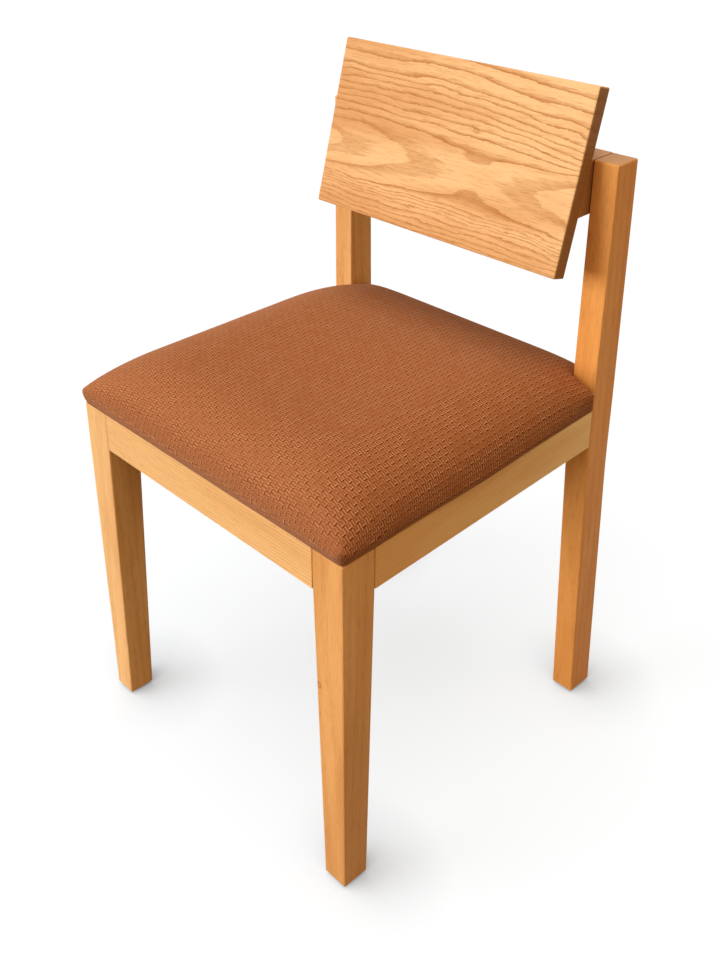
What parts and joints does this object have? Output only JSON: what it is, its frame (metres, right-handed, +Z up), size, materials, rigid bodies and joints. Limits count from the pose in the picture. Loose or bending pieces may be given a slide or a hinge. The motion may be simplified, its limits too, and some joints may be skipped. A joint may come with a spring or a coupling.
{
  "type": "restaurant chair",
  "caption": "Armless oak side chair with tapered front legs, raked back posts, a tilted flat backrest board on a wedge cross rail, and a crowned upholstered seat pad in rust basket weave.",
  "frame": {"origin": "on the floor, at the centre of the chair's bounding box", "axes": "+Z up; the chair faces -Y and its back is at +Y; +X is to the right as seen from the front"},
  "size_m": [0.442, 0.4618, 0.7988],
  "materials": {
    "oak": "honey-coloured oak, satin lacquer",
    "woven_cloth": "rust basket weave",
    "foam": "open-cell foam",
    "plywood": "unfinished plywood",
    "lining_cloth": "black non-woven lining",
    "zinc_steel": "zinc plated",
    "nylon": "moulded nylon"
  },
  "bodies": {
    "root": {"back_post_left": "oak", "back_post_right": "oak", "back_rail": "oak", "backrest_board": "oak", "backrest_screw_1": "zinc_steel", "backrest_screw_2": "zinc_steel", "backrest_screw_3": "zinc_steel", "backrest_screw_4": "zinc_steel", "block_screw_front_left_cross": "zinc_steel", "block_screw_front_left_side": "zinc_steel", "block_screw_front_right_cross": "zinc_steel", "block_screw_front_right_side": "zinc_steel", "block_screw_rear_left_cross": "zinc_steel", "block_screw_rear_left_side": "zinc_steel", "block_screw_rear_right_cross": "zinc_steel", "block_screw_rear_right_side": "zinc_steel", "corner_block_front_left": "oak", "corner_block_front_right": "oak", "corner_block_rear_left": "oak", "corner_block_rear_right": "oak", "dust_cover": "lining_cloth", "front_leg_left": "oak", "front_leg_right": "oak", "front_rail": "oak", "glide_front_left": "nylon", "glide_front_right": "nylon", "glide_nail_front_left": "zinc_steel", "glide_nail_front_right": "zinc_steel", "glide_nail_rear_left": "zinc_steel", "glide_nail_rear_right": "zinc_steel", "glide_rear_left": "nylon", "glide_rear_right": "nylon", "rear_rail": "oak", "screw_plug_1": "oak", "screw_plug_2": "oak", "screw_plug_3": "oak", "screw_plug_4": "oak", "seat_base": "plywood", "seat_cover": "woven_cloth", "seat_foam": "foam", "seat_screw_front_left": "zinc_steel", "seat_screw_front_right": "zinc_steel", "seat_screw_rear_left": "zinc_steel", "seat_screw_rear_right": "zinc_steel", "side_rail_left": "oak", "side_rail_right": "oak"}
  },
  "joints": []
}
